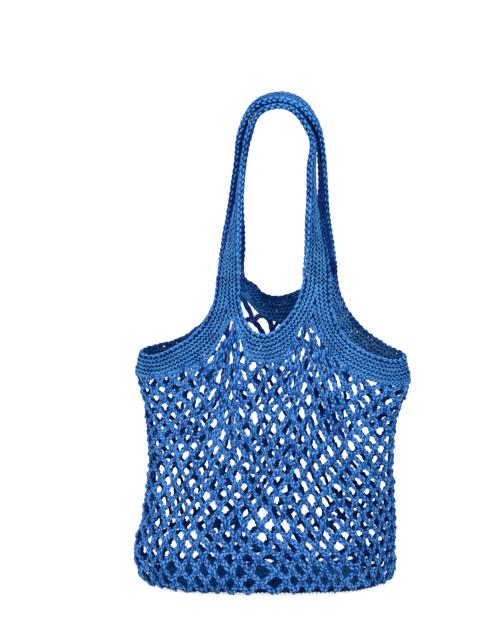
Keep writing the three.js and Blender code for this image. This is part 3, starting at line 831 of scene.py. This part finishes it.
# The core behind the rows, a sheet painted in shade to darken the gaps between them: its depth, and
# the share of it left open, round the back and elsewhere
CORE_DEPTH = 0.7
BACK_OPEN = ((0.18, 0.20, 0.27, 0.29), (0.6, 0.2, 0.2, 0.4))
PLAIN_OPEN = 0.12


def edge_rows():
    """The band's rows, edge by edge: points, direction out, width, direction to the edge, and which
    points are worked. Rows follow their edge until they meet others or reach the net."""
    edges = [cloth(*edge_line(i, EDGE_POINTS), WALL / 2) for i in range(len(EDGES))]
    rows = []
    for i, (points, out) in enumerate(edges):
        tangent = unit(np.gradient(points, axis=0))
        inwards = np.cross(tangent, out)
        inwards = np.where(inwards[:, 2:].mean() > 0, -inwards, inwards)
        near = [edges[(i + 1) % 4][0], edges[(i - 1) % 4][0]]
        blend = np.linspace(0, 1, EDGE_POINTS)
        gather = ROOTS[i][4] * (1 - blend) + ROOTS[(i + 1) % 4][4] * blend
        opened = smoothstep(ROOT_HEIGHT - points[:, 2], 0, GATHER_REACH)
        pitch = ROW * (gather * (1 - opened) + opened)
        slack = (NECK_SLACK if i % 2 == 0 else SIDE_SLACK) * ROW
        made = []
        for k in range(EDGE_ROWS):
            distance = pitch * (k + 0.5)
            share, z = place_on_cloth(points + inwards * distance[:, None])
            line, normal = cloth(share, z, WALL / 2)
            away = [np.min(np.linalg.norm(line[:, None] - e[None, ::3], axis=2), axis=1)
                    for e in near]
            keep = (np.min(away, axis=0) >= distance + slack) & (z > net_top(share) + ABOVE_NET)
            made.append((line, normal, pitch, -inwards, keep))
        rows.append(made)
    return rows


def stretches(keep):
    """First and last-but-one index of each unbroken stretch of true values."""
    edge = np.flatnonzero(np.diff(np.concatenate([[0], keep.astype(int), [0]])))
    return [(a, b) for a, b in zip(edge[::2], edge[1::2]) if b - a > 3]


def make_band_core():
    core = Yarns("mouth_band_core")
    root_points, edge_points, steps = 12, 90, 14
    top_share, top_z = [], []
    for i, span in enumerate(SPANS):
        top_share.extend(np.linspace(*span, root_points, endpoint=False))
        top_z.extend([ROOT_HEIGHT] * root_points)
        share, z = edge_line(i, edge_points)
        top_share.extend(share[:-1])
        top_z.extend(z[:-1] - ABOVE_NET)
    top_share = np.unwrap(top_share, period=1)
    top_share = np.append(top_share, top_share[0] + 1)
    top_z = np.append(top_z, top_z[0])
    part = np.linspace(0, 1, steps)[:, None]
    low = net_top(top_share) + ABOVE_NET
    z = low + (np.maximum(top_z, low) - low) * part
    # daylight shows between the stitches of the thinner back, but for its lowest cells
    around = np.mod(top_share[:-1], 1)
    back = (around < 0.5) & (part[:-1] > 0.1)
    holes = np.where(back, np.interp(around, *BACK_OPEN), PLAIN_OPEN)
    for depth in (WALL / 2 - CORE_DEPTH, WALL / 2 + CORE_DEPTH):
        core.sheet(cloth(top_share[None] + 0 * part, z, depth)[0], holes=holes)
    core.build(core_shade, "mouth_band", "band_cotton")


# Straps

# Rings along a strap, points along its rows, and the core's reach across it
STRAP_RINGS, STRAP_POINTS = 54, 260
CORE_REACH = 0.62


def catmull(points, at):
    """Centripetal curve through points, at places from 0 to 1."""
    points = np.asarray(points, float)
    count = len(points)
    padded = np.vstack([2 * points[0] - points[1], points, 2 * points[-1] - points[-2]])
    place = np.clip(at, 0, 1) * (count - 1)
    i = np.minimum(place.astype(int), count - 2)
    t = (place - i)[:, None]
    p0, p1, p2, p3 = (padded[i + k] for k in range(4))
    d0, d1, d2 = (np.sqrt(np.linalg.norm(b - a, axis=1, keepdims=True))
                  for a, b in ((p0, p1), (p1, p2), (p2, p3)))
    d1 = np.where(d1 < 1e-4, 1, d1)
    d0, d2 = np.where(d0 < 1e-4, d1, d0), np.where(d2 < 1e-4, d1, d2)
    m1 = ((p1 - p0) / d0 - (p2 - p0) / (d0 + d1) + (p2 - p1) / d1) * d1
    m2 = ((p2 - p1) / d1 - (p3 - p1) / (d1 + d2) + (p3 - p2) / d2) * d1
    bend, swing = -3 * p1 + 3 * p2 - 2 * m1 - m2, 2 * p1 - 2 * p2 + m1 + m2
    return p1 + m1 * t + bend * t ** 2 + swing * t ** 3


def strap_surface(strap, across):
    """Middle surface of a strap: rings by across, from -1 to 1, with the direction out of it and
    the width of each ring."""
    mine = {root[1]: (root, span) for root, span in zip(ROOTS, SPANS) if root[0] == strap}
    face = mine[1][0][2]
    ends, centres = {}, {}
    for side, (_, span) in mine.items():
        far_first = (side == 1) == (face > 0)
        first, last = span if far_first else span[::-1]
        share = first + (last - first) * (1 - across) / 2
        ends[side] = cloth(share, ROOT_HEIGHT + SEAM, WALL / 2)
        middle = cloth(np.linspace(first, last, 6), ROOT_HEIGHT + SEAM, WALL / 2)
        centres[side] = middle[0].mean(0)
    apex_height = FRONT_APEX if strap == "front" else BACK_APEX
    stops, twists = [], []
    for side, order, column in ((-1, 1, 1), (1, -1, 2)):
        x, y, z = centres[side]
        part = [np.array([APEX_OFFSET + (x - APEX_OFFSET) * row[column], y * row[3],
                          z + (apex_height - z) * row[0]]) for row in STATIONS[strap]]
        turn = [np.array([row[column + 3], 0, 0]) for row in STATIONS[strap]]
        stops.append(part[::order])
        twists.append(turn[::order])
    stops = stops[0] + [np.array([APEX_OFFSET, 0, apex_height])] + stops[1]
    tilt = APEX_TILT / 90 * face
    twists = twists[0] + [np.array([1 + tilt, 0, 0])] + twists[1]
    at = np.arange(STRAP_RINGS + 1) / STRAP_RINGS
    nudge = 1e-4
    middle = catmull(stops, at)
    tangent = unit(catmull(stops, at + nudge) - catmull(stops, at - nudge))
    turn = -np.maximum(catmull(twists, at)[:, 0], 0) * np.pi / 2
    out = unit(np.stack([-tangent[:, 2], 0 * at, tangent[:, 0]], 1))
    depthwise = unit(np.cross(out, tangent))
    c, s = np.cos(turn)[:, None], np.sin(turn)[:, None]
    wide = out * c + depthwise * face * s
    outer = out * s - depthwise * face * c
    bottom = max(centres[-1][2], centres[1][2])
    gather = np.where(middle[:, 0] < APEX_OFFSET, mine[-1][0][4], mine[1][0][4])
    opened = smoothstep((middle[:, 2] - bottom) / (apex_height - bottom), 0, OPENING_RISE)
    width = STRAP_WIDTH * (gather * (1 - opened) + opened)
    rise = -STRAP_CURL * np.sin(turn)[:, None] * (across[None] ** 2 - 0.5)
    grid = (middle[:, None] + wide[:, None] * (across[None] * width[:, None] / 2)[..., None]
            + outer[:, None] * rise[..., None])
    normal = np.repeat(-outer[:, None], len(across), 1)
    grid[0], grid[-1] = ends[-1][0], ends[1][0]
    normal[0], normal[-1] = ends[-1][1], ends[1][1]
    return grid, normal, width


def strap_rows(strap):
    """Each row of a strap from its left to its right root: points, direction out, width, direction
    to its edge."""
    across = -1 + (2 * np.arange(STRAP_ROWS) + 1) / STRAP_ROWS
    grid, normal, width = strap_surface(strap, across)
    fine = np.linspace(0, 1, STRAP_POINTS)
    wide = np.interp(fine, np.linspace(0, 1, len(width)), width) / STRAP_ROWS
    rows = []
    for k in range(STRAP_ROWS):
        line = catmull(grid[:, k], fine)
        to_last = unit(catmull(grid[:, -1] - grid[:, 0], fine))
        outwards = to_last * (1 if k > STRAP_ROWS // 2 else -1)
        rows.append((line, unit(catmull(normal[:, k], fine)), wide, outwards))
    return rows


def make_strap_core(strap):
    core = Yarns(f"strap_{strap}_core")
    grid, normal, _ = strap_surface(strap, np.linspace(-CORE_REACH, CORE_REACH, 7))
    for depth in (-CORE_DEPTH, CORE_DEPTH):
        core.sheet(grid + normal * depth, holes=PLAIN_OPEN)
    core.build(core_shade, f"strap_{strap}", "strap_cotton")


# Close work

# Rows round a neck and along a rim, their extra thickness, their points and their rounding
NECK_ROWS, RIM_ROWS = 3, 4
BAND_FULLER, STRAP_FULLER = 0.6, 0.5
LOOP_STEP, LOOP_ROUNDING = 1.5, 9

# The row on an edge, turned on its side: its extra size, its plait, and how its painted highlight
# faces
EDGE_THICKER, EDGE_WIDER = 0.4, 0.5
EDGE_STITCH, EDGE_PER_PERIOD, EDGE_BULK, EDGE_FACING = 7.6, 14, 0.235, 0.9

# The row along the net's top
TOP_ROW_RISE, TOP_ROW_WIDTH = 2.2, 5.6


def make_close_work():
    """The rows of close stitches. Each side row runs along both rims and over both straps, and each
    neck row round its neck and over its strap, so rows pass from piece to piece unbroken."""
    pieces = [Yarns("mouth_band_rows"), Yarns("strap_front_rows"), Yarns("strap_back_rows")]
    band_label, front_label, back_label = 0, 1, -1
    band = edge_rows()
    front, back = strap_rows("front"), strap_rows("back")

    def stretch(row, label, backwards=False):
        parts = [*row, np.full(len(row[0]), label)]
        return [v[::-1] for v in parts] if backwards else parts

    def band_part(i, k):
        return stretch(band[i][k][:4], band_label)

    def loop(k, parts):
        line, normal, width, edge, label = (np.concatenate([*v, v[0][:1]]) for v in zip(*parts))
        thickness = np.where(label != band_label, STRAP_THICKNESS + STRAP_FULLER,
                             WALL + BAND_FULLER)
        order = np.arange(len(line))
        columns = [line, normal, width[:, None], edge, thickness[:, None], order[:, None]]
        even, _ = resample(np.concatenate(columns, 1), LOOP_STEP)
        label = label[np.rint(even[:, 11]).astype(int)]
        even = rounded(even[:, :11], LOOP_ROUNDING)
        line, normal, width = even[:, :3], even[:, 3:6], even[:, 6]
        edge, thickness = even[:, 7:10], even[:, 10]
        if k == 0:
            crochet_row(pieces, line, edge, thickness + EDGE_THICKER, width + EDGE_WIDER, label,
                        EDGE_STITCH, EDGE_PER_PERIOD, EDGE_BULK, closed=True,
                        crown=unit(edge * EDGE_FACING + normal))
        else:
            crochet_row(pieces, line, normal, width, thickness, label, closed=True)

    for k in range(NECK_ROWS):
        loop(k, [band_part(0, k), stretch(back[k], back_label)])
        loop(k, [band_part(2, k), stretch(front[k], front_label, backwards=True)])
    for k in range(RIM_ROWS):
        loop(k, [band_part(1, k), stretch(front[-1 - k], front_label),
                 band_part(3, k), stretch(back[-1 - k], back_label, backwards=True)])
    for i, made in enumerate(band):
        for line, normal, pitch, _, keep in made[NECK_ROWS if i % 2 == 0 else RIM_ROWS:]:
            for a, b in stretches(keep):
                crochet_row(pieces, line[a:b], normal[a:b], width=pitch[a:b])
    share = np.linspace(0, 1, 900)
    line, out = cloth(share, net_top(share) + TOP_ROW_RISE, WALL / 2)
    crochet_row(pieces, line, out, width=TOP_ROW_WIDTH)
    pieces[0].build(band_cotton, "mouth_band", "band_cotton")
    pieces[1].build(strap_cotton, "strap_front", "strap_cotton")
    pieces[2].build(strap_cotton, "strap_back", "strap_cotton")


# Base

BASE_PITCH, BASE_ROW = 5.4, 5.6


def make_base():
    """Oval rows of close stitches round a straight spine, over a core painted in shade."""
    yarns = Yarns("base_rows")
    share = np.linspace(0, 1, 400)
    rim, _ = cloth(share, BASE_THICKNESS / 2, WALL * 0.85)
    centre = rim.mean(0)
    spine = rim - centre
    half_length = spine[:, 0].max() - spine[:, 1].max()
    along_spine = np.clip(spine[:, 0], -half_length, half_length)
    anchor = centre + np.stack([along_spine, 0 * share, 0 * share], 1)
    count = int(spine[:, 1].max() // BASE_PITCH)
    for k in range(count):
        line = anchor + (rim - anchor) * (1 - (k + 0.5) / (count + 0.3))
        out = np.broadcast_to([0, 0, -1.0], line.shape)
        crochet_row([yarns], line, out, width=BASE_ROW, thickness=BASE_THICKNESS, per_period=6)
    yarns.build(base_cotton, "base", "base_cotton")
    core = Yarns("base_core")
    for depth in (-CORE_DEPTH, CORE_DEPTH):
        ring = np.stack([anchor + (rim - anchor) * f for f in (0.0, 0.5, 0.97)])
        ring[..., 2] += depth
        core.sheet(ring)
    core.build(core_shade, "base", "base_cotton")


make_net()
make_close_work()
make_band_core()
make_strap_core("front")
make_strap_core("back")
make_base()


# Floor, light and camera, in metres

# The paper lies flat to behind the bag and bends up there
PAPER_REACH, PAPER_BEND_AT, PAPER_BEND, PAPER_TOP = 30.0, 1.6, 1.2, 4.5
PAPER_GLOW = 0.72
UNDER_YARN = 0.3

# The camera: angles in degrees, distance, focal length and picture height in pixels, and the height
# in millimetres on the bag that shows so many pixels from the picture's middle
AZIMUTH, ELEVATION, DISTANCE = 6.5, 12, 1.8
FOCAL, FRAME, SENSOR = 1386, 640, 36
AIM_HEIGHT, AIM_RIGHT, AIM_BELOW = 334, 21, 13

# Round lamps: name, place, size and power
LAMPS = (
    ("left", (-1.6, -1.3, 0.75), 0.6, 24.5),
    ("right", (1.65, -1.25, 0.6), 0.6, 21),
    ("top", (0.1, -0.8, 1.7), 0.8, 17),
)


def make_stage():
    ground = (GROUND - SAG - UNDER_YARN) / MM
    bend = [(PAPER_BEND_AT + PAPER_BEND * math.sin(a), PAPER_BEND - PAPER_BEND * math.cos(a))
            for a in np.linspace(0.1, math.pi / 2, 14)]
    profile = [(-PAPER_REACH, 0.0), (PAPER_BEND_AT, 0.0), *bend,
               (PAPER_BEND_AT + PAPER_BEND, PAPER_TOP)]
    points = [(x, y, ground + z) for y, z in profile for x in (-PAPER_REACH, PAPER_REACH)]
    faces = [(2 * i, 2 * i + 1, 2 * i + 3, 2 * i + 2) for i in range(len(profile) - 1)]
    mesh = bpy.data.meshes.new("floor")
    mesh.from_pydata(points, [], faces)
    mesh.polygons.foreach_set("use_smooth", [True] * len(faces))
    floor = add_object("floor", mesh)
    material, tree, shader = new_material("paper", {
        "Base Color": (0.92, 0.925, 0.93, 1), "Roughness": 0.9, "Specular IOR Level": 0.1,
        "Emission Color": (1, 1, 1, 1)})
    # the paper looks white without lighting the bag
    seen = add_node(tree, "LightPath")
    glow = maths(tree, "MULTIPLY", seen.outputs["Is Camera Ray"], PAPER_GLOW)
    tree.links.new(glow, shader.inputs["Emission Strength"])
    mesh.materials.append(material)


def aimed(name, data, place, target):
    """A lamp or camera at a place, turned to a target."""
    made = add_object(name, data)
    made.location = place
    made.rotation_mode = "QUATERNION"
    made.rotation_quaternion = (Vector(target) - Vector(place)).to_track_quat("-Z", "Y")
    return made


def make_lights():
    middle = (0.0, 0.0, GROUND / MM * 0.55)
    for name, place, size, power in LAMPS:
        data = bpy.data.lights.new(name, "AREA")
        data.shape, data.size, data.energy = "DISK", size, power
        aimed(name, data, place, middle)


def make_camera():
    azimuth, elevation = math.radians(AZIMUTH), math.radians(ELEVATION)
    back = Vector((math.sin(azimuth) * math.cos(elevation),
                   -math.cos(azimuth) * math.cos(elevation), math.sin(elevation)))
    aim = Vector((SHIFT[0] / MM, 0, (GROUND + AIM_HEIGHT) / MM))
    right = Vector((0, 0, 1)).cross(back).normalized()
    up = back.cross(right)
    target = aim - right * (AIM_RIGHT / FOCAL * DISTANCE) + up * (AIM_BELOW / FOCAL * DISTANCE)
    data = bpy.data.cameras.new("camera")
    data.sensor_width, data.lens = SENSOR, SENSOR * FOCAL / FRAME
    bpy.context.scene.camera = aimed("camera", data, aim + back * DISTANCE, target)


def make_world():
    world = bpy.data.worlds.new("studio")
    world.use_nodes = True
    background = world.node_tree.nodes["Background"]
    background.inputs["Color"].default_value = (1, 1, 1, 1)
    background.inputs["Strength"].default_value = 0.16
    bpy.context.scene.world = world
    bpy.context.scene.view_settings.view_transform = "Standard"


make_stage()
make_lights()
make_camera()
make_world()
